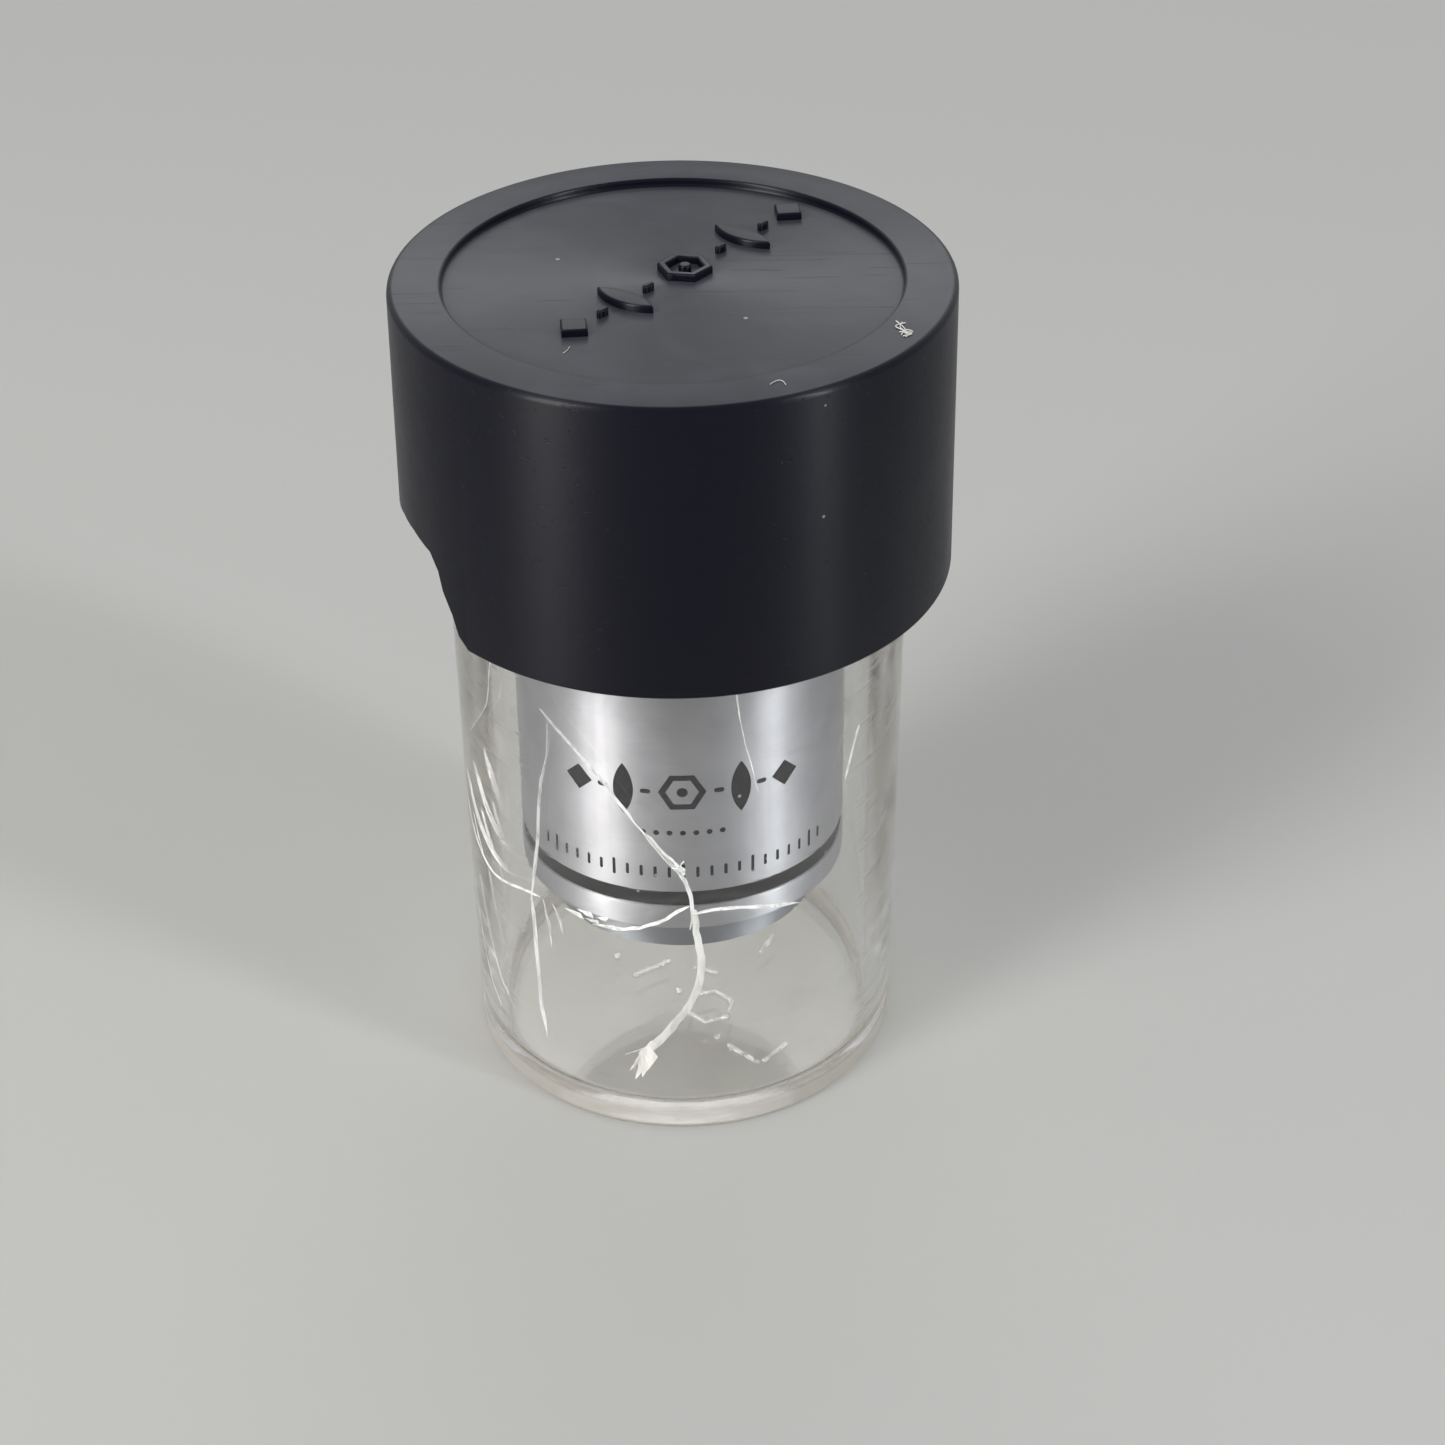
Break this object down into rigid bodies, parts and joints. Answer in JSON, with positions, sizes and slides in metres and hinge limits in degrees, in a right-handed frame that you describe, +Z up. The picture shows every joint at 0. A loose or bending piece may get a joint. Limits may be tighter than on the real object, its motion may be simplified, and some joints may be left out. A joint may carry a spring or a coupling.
{
  "type": "cased microscope objective",
  "caption": "Low-power microscope objective with a plain metal barrel, screwed into the black cap of a clear, cracked screw-top storage case; the cap's skirt is chipped.",
  "frame": {"origin": "centre of the jar's flat base, on the surface it stands on", "axes": "+Z up along the common axis of jar, cap and lens; -Y is the front; the chip in the cap's skirt is on the -X side"},
  "size_m": [0.0399, 0.04, 0.0641],
  "materials": {
    "clear_plastic": "clear, aged, cracked",
    "black_plastic": "satin gloss, dusty",
    "liner_foam": "soft foam",
    "fibre": "pressed fibre",
    "bright_steel": "turned",
    "satin_metal": "satin, finely turned",
    "dark_steel": "black oxide",
    "brass": "turned",
    "blackened_metal": "black anodised, matt",
    "crown_glass": "polished",
    "flint_glass": "polished"
  },
  "bodies": {
    "jar": {"case_jar": "clear_plastic"},
    "liner": {"sealing_liner": "liner_foam"},
    "washer": {"seat_washer": "fibre"},
    "cap": {"case_cap": "black_plastic"},
    "lens_core": {"cell_sleeve": "brass", "front_cell": "brass", "front_crown_lens": "crown_glass", "front_flint_lens": "flint_glass", "front_retaining_ring": "blackened_metal", "spacer_tube": "blackened_metal", "aperture_stop": "blackened_metal", "rear_cell": "brass", "rear_crown_lens": "crown_glass", "rear_flint_lens": "flint_glass", "rear_retaining_ring": "blackened_metal", "stack_lock_ring": "brass"},
    "lens_barrel": {"mount_ring": "bright_steel", "outer_barrel": "satin_metal", "nose_ring": "satin_metal", "grub_screw_1": "dark_steel", "grub_screw_2": "dark_steel", "grub_screw_3": "dark_steel", "rear_glare_stop": "blackened_metal"}
  },
  "joints": [
    {"name": "cap_lift", "type": "slide", "parent": "jar", "child": "liner", "axis": [0, 0, 1], "range_m": [0, 0.055]},
    {"name": "cap_rise", "type": "slide", "parent": "liner", "child": "washer", "axis": [0, 0, 1], "range_m": [0, 0.0045]},
    {"name": "cap_turn", "type": "hinge", "parent": "washer", "child": "cap", "pos_m": [0, 0, 0], "axis": [0, 0, 1], "range_deg": [0, 540]},
    {"name": "lens_advance", "type": "slide", "parent": "cap", "child": "lens_core", "axis": [0, 0, -1], "range_m": [0, 0.00424]},
    {"name": "lens_unscrew", "type": "hinge", "parent": "lens_core", "child": "lens_barrel", "pos_m": [0, 0, 0], "axis": [0, 0, -1], "range_deg": [0, 2160]}
  ],
  "couplings": [
    {"joint": "cap_rise", "follows": "cap_turn", "m_per_rad": 0.00047746},
    {"joint": "lens_advance", "follows": "lens_unscrew", "m_per_rad": 0.0001123}
  ]
}
